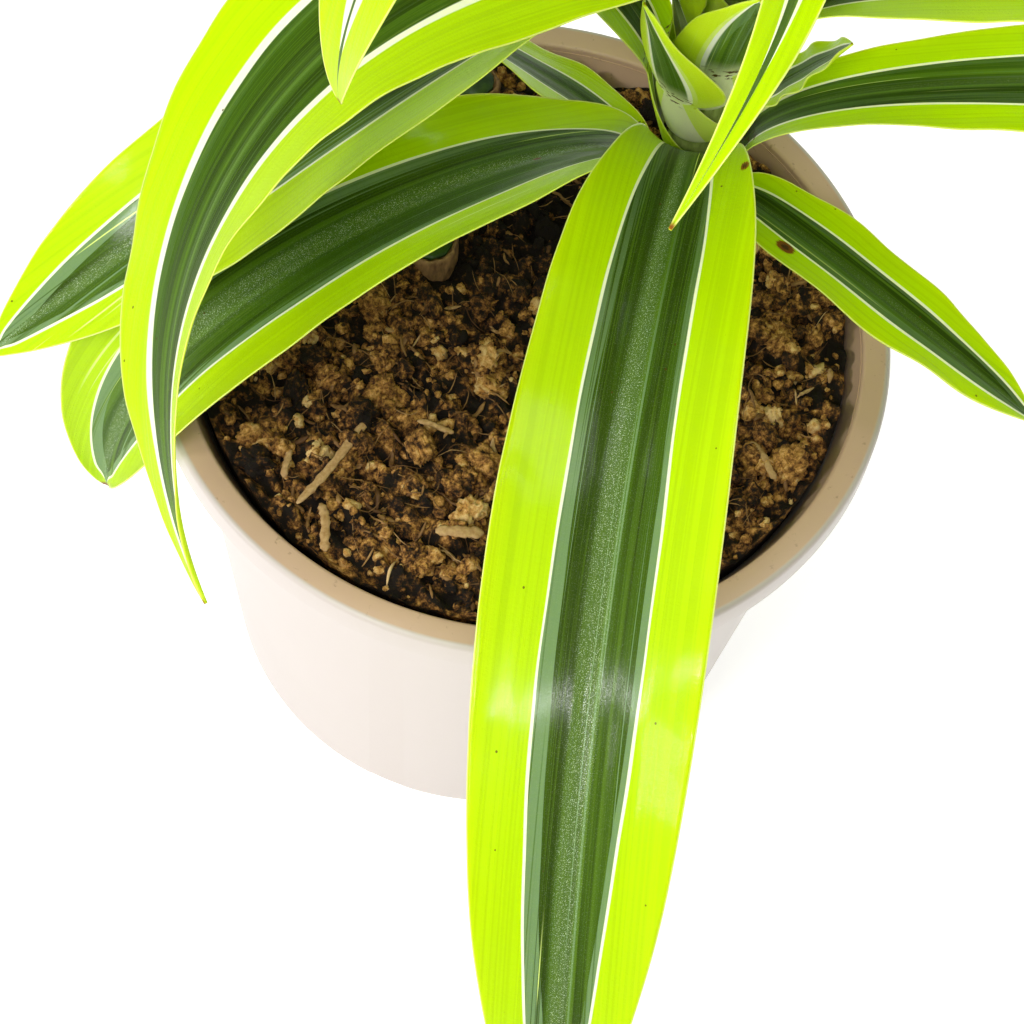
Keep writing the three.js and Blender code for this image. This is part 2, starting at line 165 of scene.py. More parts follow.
# ---- Finer detail that only the looks have ----
STATIONS = 150
ACROSS = 44
BLADE = 0.6
MARGIN_BLADE = 0.25
MIDRIB = {"fold": 0.45, "half_width": 1.5}
PLEAT = 0.12
RIPPLE = 0.45
SWAY = 0.35
POT_SIDES = 240
CANE_SIDES = 48


# ---- Meshes ----


def linked(name, data):
    """A new object in the scene."""
    made = bpy.data.objects.new(name, data)
    bpy.context.scene.collection.objects.link(made)
    return made


def make_mesh(name, points, faces, material, attributes=None):
    """A piece from points in millimetres. attributes are named numbers or vectors, one for each point."""
    mesh = bpy.data.meshes.new(name)
    mesh.from_pydata((np.asarray(points) * MM).tolist(), [], faces)
    mesh.polygons.foreach_set("use_smooth", [True] * len(mesh.polygons))
    for key, values in (attributes or {}).items():
        values = np.asarray(values, dtype=np.float32)
        kind = "FLOAT" if values.ndim == 1 else "FLOAT_VECTOR"
        attribute = mesh.attributes.new(key, kind, "POINT")
        attribute.data.foreach_set("value" if values.ndim == 1 else "vector", values.ravel())
    mesh.validate()
    mesh.update()
    piece = linked(name, mesh)
    mesh.materials.append(material)
    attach(piece, "root")
    return piece


def ring_faces(sides, rings):
    """Faces of a closed body whose points are one on the axis, then rings of them, then one on the axis."""
    faces = []
    for j in range(sides):
        k = (j + 1) % sides
        faces.append((0, 1 + k, 1 + j))
        for i in range(rings - 1):
            row, above = 1 + i * sides, 1 + (i + 1) * sides
            faces.append((row + j, row + k, above + k, above + j))
        row = 1 + (rings - 1) * sides
        faces.append((row + sides, row + j, row + k))
    return faces


def turned(profile, sides):
    """Points and faces of a turned body. Its profile of (radius, height) starts and ends on the axis."""
    inner = profile[1:-1]
    angles = np.arange(sides) * TAU / sides
    rings = [np.stack([r * np.cos(angles), r * np.sin(angles), np.full(sides, z)], 1) for r, z in inner]
    points = np.concatenate([[[0, 0, profile[0][1]]], *rings, [[0, 0, profile[-1][1]]]])
    return points, ring_faces(sides, len(inner))


def rounded(profile, corner, radius, steps=4):
    """The profile with one of its corners, given by its index, rounded by an arc."""
    a, b, c = (np.array(profile[corner + k], dtype=float) for k in (-1, 0, 1))
    towards_a = (a - b) / np.linalg.norm(a - b)
    towards_c = (c - b) / np.linalg.norm(c - b)
    half_angle = math.acos(np.clip(towards_a @ towards_c, -1, 1)) / 2
    reach = radius / math.tan(half_angle)
    between = (towards_a + towards_c) / np.linalg.norm(towards_a + towards_c)
    middle = b + between * radius / math.sin(half_angle)
    start, end = b + towards_a * reach - middle, b + towards_c * reach - middle
    arc = []
    for k in range(steps + 1):
        mixed = start + (end - start) * k / steps
        arc.append(tuple(middle + mixed / np.linalg.norm(mixed) * radius))
    return profile[:corner] + arc + profile[corner + 1 :]


class ValueNoise:
    """Smooth seeded noise over the plane, from -1 to 1."""

    def __init__(self, seed, size=256):
        self.grid = np.random.default_rng(seed).uniform(-1, 1, (size, size))
        self.size = size

    def __call__(self, x, y):
        x0, y0 = np.floor(x).astype(int), np.floor(y).astype(int)
        fx, fy = x - x0, y - y0
        fx, fy = fx * fx * (3 - 2 * fx), fy * fy * (3 - 2 * fy)

        def at(i, j):
            return self.grid[(x0 + i) % self.size, (y0 + j) % self.size]

        low = at(0, 0) * (1 - fx) + at(1, 0) * fx
        high = at(0, 1) * (1 - fx) + at(1, 1) * fx
        return low * (1 - fy) + high * fy


def layered(noise, x, y, wavelength, layers):
    """Noise of halving wavelength and height, added up."""
    total = np.zeros_like(x)
    for k in range(layers):
        total += noise(x * 2**k / wavelength + 17.3 * k, y * 2**k / wavelength - 9.1 * k) / 2**k
    return total


# ---- Materials ----


class Surface:
    """A procedural material and what feeds it."""

    def __init__(self, name, **constants):
        self.material = bpy.data.materials.new(name)
        self.material.use_nodes = True
        self.tree = self.material.node_tree
        self.shader = self.tree.nodes["Principled BSDF"]
        for socket, value in constants.items():
            self.shader.inputs[socket.replace("_", " ")].default_value = value

    def feed(self, socket, value):
        if isinstance(value, bpy.types.NodeSocket):
            self.tree.links.new(value, socket)
        else:
            socket.default_value = value

    def node(self, kind, inputs, **settings):
        """A node with its settings made and its inputs fed."""
        node = self.tree.nodes.new("ShaderNode" + kind)
        for key, value in settings.items():
            setattr(node, key, value)
        for key, value in inputs.items():
            self.feed(node.inputs[key], value)
        return node

    def math(self, operation, a, b=0.0, clamp=False):
        return self.node("Math", {0: a, 1: b}, operation=operation, use_clamp=clamp).outputs[0]

    def plus(self, a, b):
        return self.math("ADD", a, b)

    def minus(self, a, b):
        return self.math("SUBTRACT", a, b)

    def times(self, a, b, clamp=False):
        return self.math("MULTIPLY", a, b, clamp)

    def size_of(self, value):
        return self.math("ABSOLUTE", value)

    def linear(self, value, slope, start):
        """start where value is 0, and slope more for each 1 of it."""
        return self.plus(self.times(value, slope), start)

    def length(self, a, b):
        return self.math("SQRT", self.plus(self.times(a, a), self.times(b, b)))

    def smooth(self, value, low, high):
        """0 below low, 1 above high, and smooth between them. With low above high it falls instead."""
        falls = low > high
        ends = {"From Min": min(low, high), "From Max": max(low, high)}
        ends |= {"To Min": float(falls), "To Max": float(not falls)}
        node = self.node("MapRange", {"Value": value, **ends}, interpolation_type="SMOOTHSTEP")
        return node.outputs["Result"]

    def mix(self, factor, a, b):
        a, b = (c if isinstance(c, bpy.types.NodeSocket) else (*c, 1) for c in (a, b))
        return self.node("Mix", {"Factor": factor, 6: a, 7: b}, data_type="RGBA").outputs[2]

    def ramp(self, value, stops):
        node = self.node("ValToRGB", {0: value})
        elements = node.color_ramp.elements
        while len(elements) < len(stops):
            elements.new(0.5)
        for element, (place, colour) in zip(elements, stops):
            element.position = place
            element.color = (*colour, 1)
        return node.outputs[0]

    def noise(self, vector, scale, detail=2.0, roughness=0.5):
        inputs = {"Vector": vector, "Scale": scale, "Detail": detail, "Roughness": roughness}
        return self.node("TexNoise", inputs).outputs["Fac"]

    def cells(self, vector):
        """Distance to the nearest of scattered points, about one to each unit of the vector."""
        return self.node("TexVoronoi", {"Vector": vector, "Scale": 1.0}).outputs["Distance"]

    def attribute(self, name, output="Vector"):
        return self.node("Attribute", {}, attribute_name=name).outputs[output]

    def place(self):
        return self.node("TexCoord", {}).outputs["Object"]

    def split(self, vector):
        return self.node("SeparateXYZ", {0: vector}).outputs

    def join(self, x, y, z):
        return self.node("CombineXYZ", {0: x, 1: y, 2: z}).outputs[0]

    def bump(self, height, strength, distance):
        node = self.node("Bump", {"Strength": strength, "Distance": distance, "Height": height})
        self.feed(self.shader.inputs["Normal"], node.outputs[0])

    def colour(self, value):
        self.feed(self.shader.inputs["Base Color"], value)

    def roughness(self, value):
        self.feed(self.shader.inputs["Roughness"], value)


# ---- Leaf paint ----

LIME = (0.475, 0.705, 0.0004)
LIME_SHADE = (0.42, 0.63, 0.0003)
LINE_WHITE = (0.86, 0.90, 0.66)
CREAM = (0.78, 0.84, 0.46)
EDGE_PALE = (0.72, 0.86, 0.24)
CENTRE_DARK = (0.020, 0.050, 0.0010)
CENTRE_GREEN = (0.040, 0.096, 0.0030)
CENTRE_MID = (0.085, 0.175, 0.009)
CENTRE_PALE = (0.175, 0.290, 0.115)
# Painted sheen along the midrib, partly the midrib's own paler green.
CENTRE_SHEEN = (0.105, 0.185, 0.040)
# Painted glints: pale specks that stand in for sparkling reflections.
GLINT_SPECKS = (0.62, 0.74, 0.50)
SPECK = (0.07, 0.030, 0.006)
SCAR = (0.22, 0.070, 0.008)
UNDERSIDE = (0.62, 0.86, 0.02)

# In millimetres, but for the drift and the lopsidedness, which are shares.
LINE_DRIFT = 0.14
LINE_SOFTNESS = 0.1
THINNEST_LINE = 0.002
PALE_BAND = {"least": 0.8, "more": 2.8, "lopsided": 0.35}
THROAT = {"place": 21.0, "reach": (4.5, 2.0), "half": (8.0, 5.0)}
# Noise cells in each millimetre across and along the blade, for streaks of each kind.
HAIR = (4.5, 0.02)
VEINS = (1.5, 0.004)
POWDER = (6.0, 4.0)


class LeafPaint(Surface):
    """Lime margins, white lines and a striped dark centre.

    What each point of a leaf carries places them: its share of the way across and along the blade, the same
    in millimetres, and its leaf's own marks.
    """

    def __init__(self):
        super().__init__("leaf", Specular_IOR_Level=0.11, Subsurface_Weight=0.6, Subsurface_Scale=0.0015)
        self.shader.inputs["Subsurface Radius"].default_value = (1.0, 1.0, 0.1)
        self.shader.inputs["Specular Tint"].default_value = (1.0, 1.0, 0.35, 1.0)
        across_share, self.along_share, self.under = self.split(self.attribute("leaf_place"))
        self.across, self.along, self.half_width = self.split(self.attribute("leaf_mm"))
        self.centre_share, self.line_half, self.stripes = self.split(self.attribute("leaf_marks"))
        self.seed = self.attribute("leaf_seed", "Fac")
        self.distance = self.size_of(across_share)
        self.side = self.math("SIGN", self.across)
        self.outer = self.smooth(self.along_share, 0.05, 0.6)
        self.hair = self.streaks(HAIR, 13.0, 2.0)
        self.veins = self.streaks(VEINS, 17.0)
        self.powder = self.streaks(POWDER, 31.0, 3.0, 0.7)
        self.from_line = self.from_white_line()

    def streaks(self, per_mm, shift, detail=1.0, roughness=0.5):
        """Noise drawn out along the blade. shift keeps each kind of streak apart from the others."""
        x = self.times(self.across, per_mm[0])
        y = self.times(self.along, per_mm[1])
        return self.noise(self.join(x, y, self.plus(self.seed, shift)), 1.0, detail, roughness)

    def scattered(self, per_mm_across, per_mm_along):
        """Distance to the nearest of points scattered over the blade."""
        x = self.times(self.across, per_mm_across)
        y = self.times(self.along, per_mm_along)
        return self.cells(self.join(x, y, self.seed))

    def from_white_line(self):
        """Millimetres from the nearer white line, below 0 in the centre. The line drifts along the blade."""
        along = self.times(self.along, 0.012)
        drift = self.noise(self.join(self.times(self.side, 3.0), along, self.seed), 1.0)
        place = self.plus(self.distance, self.times(self.minus(drift, 0.5), LINE_DRIFT))
        return self.times(self.minus(place, self.centre_share), self.half_width)

    def centre(self):
        """Uneven dark greens, a paler midrib that is partly painted sheen, pale stripes, and painted glints
        thickest on the midrib.
        """
        shade = self.smooth(self.streaks((0.35, 0.004), 41.0), 0.40, 0.56)
        green = self.mix(shade, CENTRE_DARK, CENTRE_GREEN)
        light = self.smooth(self.streaks((0.55, 0.003), 51.0, 2.0), 0.50, 0.66)
        green = self.mix(light, green, CENTRE_MID)
        green = self.mix(self.times(self.smooth(self.hair, 0.48, 0.64), 0.5), green, CENTRE_MID)
        middle = self.smooth(self.minus(self.distance, self.times(self.outer, 0.05)), 0.12, 0.01)
        # Painted sheen along the midrib, widening towards the tip, partly the midrib's own paler green.
        green = self.mix(self.times(middle, self.linear(self.stripes, 0.5, 0.1)), green, CENTRE_SHEEN)
        green = self.mix(self.times(self.pale_stripes(), self.stripes), green, CENTRE_PALE)
        # Painted glints, thickest on the midrib and on the most striped leaves.
        painted_glints = self.times(self.smooth(self.powder, 0.575, 0.625), self.linear(middle, 0.8, 0.10))
        painted_glints = self.times(painted_glints, self.times(self.stripes, self.stripes))
        return self.mix(painted_glints, green, GLINT_SPECKS)

    def pale_stripes(self):
        """Thin stripes anywhere in the centre, and a band beside each white line, wider on one side."""
        thin = self.smooth(self.streaks((1.3, 0.003), 9.0), 0.63, 0.66)
        band = self.linear(self.streaks((0.02, 0.010), 81.0), PALE_BAND["more"], PALE_BAND["least"])
        band = self.times(band, self.linear(self.side, -PALE_BAND["lopsided"], 1.0))
        beside = self.smooth(self.plus(self.from_line, band), -LINE_SOFTNESS, LINE_SOFTNESS)
        pale = self.times(self.math("MAXIMUM", thin, beside), self.plus(self.outer, 0.3), clamp=True)
        return self.times(pale, self.smooth(self.streaks((1.8, 0.006), 19.0, 2.0), 0.30, 0.50))

    def margins(self):
        lime = self.mix(self.smooth(self.veins, 0.36, 0.56), LIME_SHADE, LIME)
        return self.mix(self.times(self.smooth(self.hair, 0.60, 0.50), 0.3), lime, LIME_SHADE)

    def with_white_lines(self, paint):
        """White lines of uneven width, and pale splinters near them."""
        wavering = self.linear(self.streaks((0.0, 0.03), 61.0), 1.2, 0.4)
        widest = self.times(self.half_width, 0.09)
        width = self.math("MINIMUM", self.times(self.line_half, wavering), widest)
        width = self.math("MAXIMUM", width, THINNEST_LINE)
        off_line = self.math("DIVIDE", self.size_of(self.from_line), width)
        paint = self.mix(self.smooth(off_line, 1.2, 0.8), paint, LINE_WHITE)
        near_line = self.smooth(self.size_of(self.from_line), 4.5, 3.0)
        splinters = self.times(self.smooth(self.streaks((1.3, 0.010), 71.0), 0.71, 0.74), near_line)
        return self.mix(self.times(splinters, self.stripes), paint, EDGE_PALE)

    def with_edges(self, paint):
        """A thin pale edge, and a cream foot, larger in the leaves with wide lines."""
        from_edge = self.times(self.linear(self.distance, -1.0, 1.0), self.half_width)
        paint = self.mix(self.smooth(from_edge, 0.32, 0.10), paint, EDGE_PALE)
        foot = self.smooth(self.streaks((0.25, 0.01), 91.0), 0.40, 0.56)
        foot = self.times(self.times(self.smooth(self.along, 20.0, 8.0), foot), 0.7)
        wide_line = self.smooth(self.line_half, 0.9, 1.3)
        wide_foot = self.times(self.smooth(self.along, 30.0, 18.0), wide_line)
        return self.mix(self.math("MAXIMUM", foot, wide_foot), paint, CREAM)

    def with_blemishes(self, paint):
        """Specks, dry scars, a brown tip and scuffs at the throat."""
        specks = self.smooth(self.scattered(0.15, 0.12), 0.042, 0.028)
        paint = self.mix(self.times(specks, 0.8), paint, SPECK)
        paint = self.mix(self.smooth(self.scattered(0.032, 0.015), 0.024, 0.017), paint, SPECK)
        paint = self.mix(self.smooth(self.along_share, 0.990, 0.998), paint, SCAR)
        throat = self.smooth(self.size_of(self.minus(self.along, THROAT["place"])), *THROAT["reach"])
        throat = self.times(throat, self.smooth(self.size_of(self.across), *THROAT["half"]))
        scuffs = self.smooth(self.streaks((0.55, 0.9), 111.0, 2.0), 0.56, 0.62)
        return self.mix(self.times(throat, scuffs), paint, SPECK)

    def with_spot(self, paint):
        """One brown spot with a darker middle, where the leaf's own marks put it."""
        across, along, size = self.split(self.attribute("leaf_spot"))
        off_along = self.times(self.minus(self.along, along), 0.6)
        off = self.length(self.minus(self.across, across), off_along)
        off = self.plus(off, self.times(self.minus(self.hair, 0.5), 1.2))
        off = self.math("DIVIDE", off, size)
        paint = self.mix(self.smooth(off, 1.1, 0.8), paint, SCAR)
        return self.mix(self.smooth(off, 0.6, 0.3), paint, SPECK)

    def set_gloss(self):
        """A waxy face, duller underneath, with a coat that the powder breaks up."""
        waxy = self.linear(self.smooth(self.from_line, 0.3, -0.3), 0.14, 0.22)
        waxy = self.plus(waxy, self.times(self.under, 0.15))
        self.roughness(self.plus(self.times(self.powder, 0.22), waxy))
        coat = self.times(self.smooth(self.powder, 0.42, 0.60), self.linear(self.stripes, 0.42, 0.05))
        self.feed(self.shader.inputs["Coat Weight"], coat)
        self.shader.inputs["Coat Roughness"].default_value = 0.14

    def set_relief(self):
        ridges = self.plus(self.times(self.hair, 0.5), self.times(self.veins, 0.8))
        wrinkles = self.times(self.streaks((1.1, 1.6), 101.0, 2.0), 0.7)
        wrinkles = self.plus(self.times(self.powder, 0.6), wrinkles)
        self.bump(self.plus(ridges, wrinkles), 0.4, 0.0003)


def leaf_material():
    s = LeafPaint()
    beyond_line = s.smooth(s.from_line, -LINE_SOFTNESS, LINE_SOFTNESS)
    paint = s.mix(beyond_line, s.centre(), s.margins())
    paint = s.with_edges(s.with_white_lines(paint))
    paint = s.with_spot(s.with_blemishes(paint))
    lit_through = s.mix(s.times(beyond_line, 0.8), paint, UNDERSIDE)
    s.colour(s.mix(s.under, paint, lit_through))
    s.set_gloss()
    s.set_relief()
    return s.material


# ---- Pot, soil, bark and wax ----

WALL_COLOURS = ((0.545, 0.475, 0.43), (0.575, 0.51, 0.465))
# The rim's colours are painted shade, with some soil stain, on the same plastic as the wall.
RIM_SHADE_AND_STAIN = ((0.53, 0.345, 0.225), (0.64, 0.435, 0.315))
DUST = (0.20, 0.12, 0.07)
SOIL_TONES = [
    (0.28, (0.008, 0.0035, 0.001)),
    (0.40, (0.090, 0.036, 0.008)),
    (0.52, (0.34, 0.150, 0.035)),
    (0.66, (0.70, 0.36, 0.090)),
    (0.85, (0.95, 0.66, 0.28)),
]
FIBRE_TONES = [(0.25, (0.10, 0.042, 0.012)), (0.55, (0.34, 0.18, 0.060)), (0.85, (0.75, 0.52, 0.26))]
WAX_TONES = [(0.35, (0.010, 0.036, 0.004)), (0.62, (0.035, 0.085, 0.010)), (0.78, (0.10, 0.17, 0.03))]
CANE_TONES = [(0.36, (0.14, 0.20, 0.02)), (0.66, (0.50, 0.60, 0.18))]
STUMP_TONES = [(0.36, (0.060, 0.028, 0.010)), (0.66, (0.48, 0.27, 0.12))]


def pot_material():
    """Pale moulded plastic. The flat of the rim and the inner wall above the soil are darker, painted shade
    with some soil stain, and carry dust specks.
    """
    s = Surface("pot_plastic", Specular_IOR_Level=0.5, Coat_Weight=0.15, Coat_Roughness=0.25)
    place = s.place()
    x, y, z = s.split(place)
    radius = s.length(x, y)
    cloud = s.noise(place, 22, 4, 0.6)
    high = s.smooth(z, (POT_HEIGHT - 1.2) * MM, (POT_HEIGHT - 0.5) * MM)
    within_lip = s.smooth(radius, (RIM_RADIUS - 0.9) * MM, (RIM_RADIUS - 1.7) * MM)
    inside = s.smooth(radius, (RIM_INNER_RADIUS + 1.4) * MM, (RIM_INNER_RADIUS + 0.4) * MM)
    inside = s.times(inside, s.smooth(z, (WALL_TOP + 3) * MM, (WALL_TOP + 4) * MM))
    # Painted shade, with some soil stain, on the rim's flat and the inner wall above the soil.
    shaded_and_stained = s.math("MAXIMUM", s.times(high, within_lip), inside)
    paint = s.mix(shaded_and_stained, s.mix(cloud, *WALL_COLOURS), s.mix(cloud, *RIM_SHADE_AND_STAIN))
    dust = s.smooth(s.noise(place, 420, 3, 0.7), 0.62, 0.75)
    s.colour(s.mix(s.times(s.times(dust, shaded_and_stained), 0.5), paint, DUST))
    s.roughness(s.linear(cloud, 0.18, 0.30))
    s.bump(s.noise(place, 700, 3, 0.6), 0.12, 0.0003)
    return s.material


def soil_material():
    """Brown coir and bark, with painted shade in the hollows of the bed. Each crumb has its own tone."""
    s = Surface("soil", Specular_IOR_Level=0.3)
    place = s.place()
    grain = s.noise(place, 600, 6, 0.75)
    patch = s.noise(place, 110, 3, 0.6)
    tone = s.plus(s.times(grain, 1.5), s.times(patch, 0.5))
    tone = s.plus(tone, s.linear(s.attribute("tone", "Fac"), 0.7, -0.85))
    s.colour(s.ramp(tone, SOIL_TONES))
    s.roughness(s.linear(grain, 0.4, 0.55))
    s.bump(grain, 1.0, 0.0012)
    return s.material


def fibre_material():
    s = Surface("coir_fibre", Specular_IOR_Level=0.35)
    grain = s.noise(s.place(), 900, 4, 0.6)
    tone = s.plus(s.times(grain, 0.4), s.times(s.attribute("tone", "Fac"), 0.6))
    s.colour(s.ramp(tone, FIBRE_TONES))
    s.roughness(s.linear(grain, 0.3, 0.5))
    s.bump(grain, 0.6, 0.0004)
    return s.material


def bark_material(name, tones):
    """Bark with its grain drawn out upwards."""
    s = Surface(name, Specular_IOR_Level=0.35)
    x, y, z = s.split(s.place())
    grain = s.noise(s.join(x, y, s.times(z, 0.25)), 700, 5, 0.65)
    patch = s.noise(s.place(), 120, 3, 0.6)
    s.colour(s.ramp(s.plus(s.times(grain, 0.55), s.times(patch, 0.45)), tones))
    s.roughness(s.linear(grain, 0.35, 0.5))
    s.bump(grain, 0.6, 0.0006)
    return s.material


def wax_material():
    s = Surface("sealing_wax", Specular_IOR_Level=0.3, Coat_Weight=0.1, Coat_Roughness=0.15)
    cloud = s.noise(s.place(), 260, 4, 0.6)
    s.colour(s.ramp(cloud, WAX_TONES))
    s.roughness(s.linear(cloud, 0.3, 0.22))
    s.bump(cloud, 0.5, 0.0006)
    return s.material


# ---- Leaves ----


def width_share(t):
    """A smooth curve through the width profile's points."""
    xs, ys = (np.array(values, dtype=float) for values in zip(*WIDTH_PROFILE))
    slopes = np.gradient(ys)
    slopes[1:-1] = (ys[2:] - ys[:-2]) / (xs[2:] - xs[:-2])
    slopes[0] = (ys[1] - ys[0]) / (xs[1] - xs[0])
    slopes[-1] = (ys[-1] - ys[-2]) / (xs[-1] - xs[-2])
    i = np.clip(np.searchsorted(xs, t, side="right") - 1, 0, len(xs) - 2)
    h = xs[i + 1] - xs[i]
    f = (t - xs[i]) / h
    start = (2 * f**3 - 3 * f**2 + 1) * ys[i] + (f**3 - 2 * f**2 + f) * h * slopes[i]
    return start + (3 * f**2 - 2 * f**3) * ys[i + 1] + (f**3 - f**2) * h * slopes[i + 1]


def unit(azimuth, pitch):
    return np.stack([np.cos(pitch) * np.cos(azimuth), np.cos(pitch) * np.sin(azimuth), np.sin(pitch)], -1)


def leaf_surface(leaf, stations, across, seed):
    """The upper face's points, its normals, and where each lies on the blade."""
    length = leaf["length"]
    along = np.linspace(0, length, stations)
    t = np.clip((along - SHEATH) / (length - SHEATH), 1e-6, 1)
    in_sheath = along < SHEATH
    clasp = np.where(in_sheath, 1, np.exp(-t / SETTLE))
    closed = np.where(in_sheath, 1, np.exp(-t / OPENING))
    outwards = math.atan(CONE)
    pitch = np.radians(leaf["rise"] - leaf["fall"] * t ** leaf["bow"]) * (1 - clasp)
    pitch = pitch + (math.pi / 2 - outwards) * clasp
    azimuth = np.radians(leaf["heading"] + leaf["swing"] * t**SWING_POWER)
    forward = unit(azimuth, pitch)
    radius = CANE["radius"] + CLASP_GAP
    first = unit(np.radians(float(leaf["heading"])), 0.0) * radius + (CANE["x"], CANE["y"], leaf["base"])
    steps = (forward[1:] + forward[:-1]) / 2 * (length / (stations - 1))
    midrib = first + np.concatenate([np.zeros((1, 3)), np.cumsum(steps, 0)])

    level = np.stack([-np.sin(azimuth), np.cos(azimuth), np.zeros(stations)], -1)
    roll = np.radians(leaf["tilt"] * (1 - clasp) + leaf["turn"] * t)[:, None]
    square = unit(azimuth, pitch + outwards * clasp)
    side = level * np.cos(roll) + np.cross(square, level) * np.sin(roll)
    up = np.cross(square, side)

    blade_width = leaf["width"] * width_share(np.minimum(t ** leaf["taper"], 1))
    in_blade = np.minimum(along / SHEATH, 1)
    width = WRAP * TAU * radius * (1 - in_blade) + blade_width * in_blade
    sheath_curve = 1 / (radius + CONE * np.minimum(along, SHEATH))
    blade_curve = np.radians(leaf["cup"] + (leaf["curl"] - leaf["cup"]) * t) / np.maximum(width, 4)
    curve = (blade_curve * (1 - closed) + sheath_curve * closed)[:, None]
    share = np.linspace(-1, 1, across)[None, :]
    place_mm = share * width[:, None] / 2
    angle = place_mm * curve

    late = t[:, None]
    phase = TAU * WAVES * late + math.radians(leaf["heading"]) + np.where(share > 0, math.pi / 2, 0)
    height = leaf["wave"] * share**2 * np.sin(phase) * np.minimum(4 * late, 1) * (1 - late) ** 0.3
    height = height + fine_relief(share, place_mm, along[:, None], late, seed)
    across_step = np.sin(angle) / curve
    up_step = (1 - np.cos(angle)) / curve + height
    points = midrib[:, None] + side[:, None] * across_step[..., None] + up[:, None] * up_step[..., None]
    normals = -np.sin(angle)[..., None] * side[:, None] + np.cos(angle)[..., None] * up[:, None]
    return points, normals, share, place_mm, along[:, None], late, width[:, None] / 2


def fine_relief(share, place_mm, along, t, seed):
    """Midrib fold, long pleats and small ripples at the margins, all within the blade's own thickness."""
    noise = ValueNoise(1000 + seed)
    open_blade = np.minimum(6 * t, 1) * np.minimum(5 * (1 - t), 1)
    side = np.sign(place_mm)
    flat = np.zeros_like(place_mm)
    fold = -MIDRIB["fold"] * np.exp(-((place_mm / MIDRIB["half_width"]) ** 2))
    pleats = PLEAT * noise(place_mm / 2.4 + 40, along / 90) + PLEAT * noise(place_mm / 5.0 + 80, along / 60)
    margin = np.abs(share) ** 3
    ripples = RIPPLE * margin * noise(side * 7 + along / 9, flat + seed)
    sway = SWAY * margin * noise(side * 3 + along / 26, flat + seed + 50)
    return (fold + pleats + ripples + sway) * open_blade


def blade_faces(stations, across):
    """Faces of a closed blade whose upper points come first, then as many lower ones."""
    count = stations * across
    faces = []

    def at(i, j):
        return i * across + j

    for i in range(stations - 1):
        for j in range(across - 1):
            corner = (at(i, j), at(i + 1, j), at(i + 1, j + 1), at(i, j + 1))
            faces.append(corner)
            faces.append(tuple(count + k for k in reversed(corner)))
        for j, order in ((0, 1), (across - 1, -1)):
            rim = (at(i, j), count + at(i, j), count + at(i + 1, j), at(i + 1, j))
            faces.append(rim[::order])
    for i, order in ((0, -1), (stations - 1, 1)):
        for j in range(across - 1):
            end = (at(i, j), count + at(i, j), count + at(i, j + 1), at(i, j + 1))
            faces.append(end[::order])
    return faces


def spot_anywhere(seed):
    """A small spot in a place of the leaf's own: across, along, radius."""
    return 8 * math.cos(2.4 * seed), 40 + 37 * seed % 60, 0.3 + 0.1 * (seed % 4)


def make_leaf(name, leaf, seed, material):
    points, normals, share, place_mm, along, t, half = leaf_surface(leaf, STATIONS, ACROSS, seed)
    thickness = MARGIN_BLADE + (BLADE - MARGIN_BLADE) * (1 - share**6)
    lower = points - normals * (thickness * np.ones_like(t))[..., None]
    count = STATIONS * ACROSS
    ones = np.ones((STATIONS, ACROSS))

    def flat(*layers):
        return np.stack([(layer * ones).ravel() for layer in layers], 1)

    places = [flat(share, t, under * ones) for under in (0, 1)]
    sizes = flat(place_mm, along, half)
    narrowing = np.clip((1 - t) / leaf["lime_tip"], 0, 1)
    line = leaf["line"] * np.clip(3 * narrowing - 1, 0, 1)
    marks = flat(leaf["centre"] * narrowing, line, leaf["stripes"])
    attributes = {
        "leaf_place": np.concatenate(places),
        "leaf_mm": np.concatenate([sizes, sizes]),
        "leaf_marks": np.concatenate([marks, marks]),
        "leaf_spot": np.tile(leaf["spot"] or spot_anywhere(seed), (2 * count, 1)),
        "leaf_seed": np.full(2 * count, 7.31 * seed),
    }
    all_points = np.concatenate([points.reshape(-1, 3), lower.reshape(-1, 3)])
    faces = blade_faces(STATIONS, ACROSS)
    piece = make_mesh(name + "_blade", all_points, faces, material, attributes)
    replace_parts(piece, name)


def crown_leaves():
    leaves = {}
    for i in range(CROWN["count"]):
        age = i / (CROWN["count"] - 1)
        leaf = {key: CROWN_FIRST[key] + (CROWN_LAST[key] - CROWN_FIRST[key]) * age for key in CROWN_FIRST}
        leaf["base"] = CROWN["base"] + CROWN["step"] * i
        leaf["heading"] = CROWN["heading"] + CROWN["golden_angle"] * i
        leaf["bow"] = CROWN["bow"]
        leaves[f"crown_leaf_{i + 1}"] = leaf
    return leaves


# ---- Pot ----


def wall_radius(height):
    return BASE_RADIUS + (RIM_INNER_RADIUS - WALL - BASE_RADIUS) / POT_HEIGHT * height


def pot_profile():
    """The wall, the flat rim and its skirt, with every edge rounded."""
    skirt_foot = POT_HEIGHT - SKIRT_DROP
    profile = [
        (0, 0),
        (BASE_RADIUS - 0.2, 0),
        (wall_radius(POT_HEIGHT - 2) + WALL, POT_HEIGHT - 2),
        (RIM_RADIUS - WALL, POT_HEIGHT - 2),
        (RIM_RADIUS - WALL, skirt_foot),
        (RIM_RADIUS, skirt_foot),
        (RIM_RADIUS, POT_HEIGHT),
        (RIM_INNER_RADIUS, POT_HEIGHT),
        (RIM_INNER_RADIUS, POT_HEIGHT - 2),
        (wall_radius(WALL_TOP) - WALL, WALL_TOP),
        (wall_radius(FLOOR) - WALL, FLOOR),
        (0, FLOOR),
    ]
    roundings = [(1, 2.6), (4, 0.3), (5, 0.6), (6, 1.3), (7, 1.0), (10, 2.0)]
    for corner, radius in reversed(roundings):
        profile = rounded(profile, corner, radius)
    return profile


def cutter(name, operator, matrix, settings):
    """A shape to cut away from another."""
    mesh = bpy.data.meshes.new(name)
    shape = bmesh.new()
    operator(shape, matrix=matrix, **settings)
    shape.to_mesh(mesh)
    shape.free()
    return linked(name, mesh)


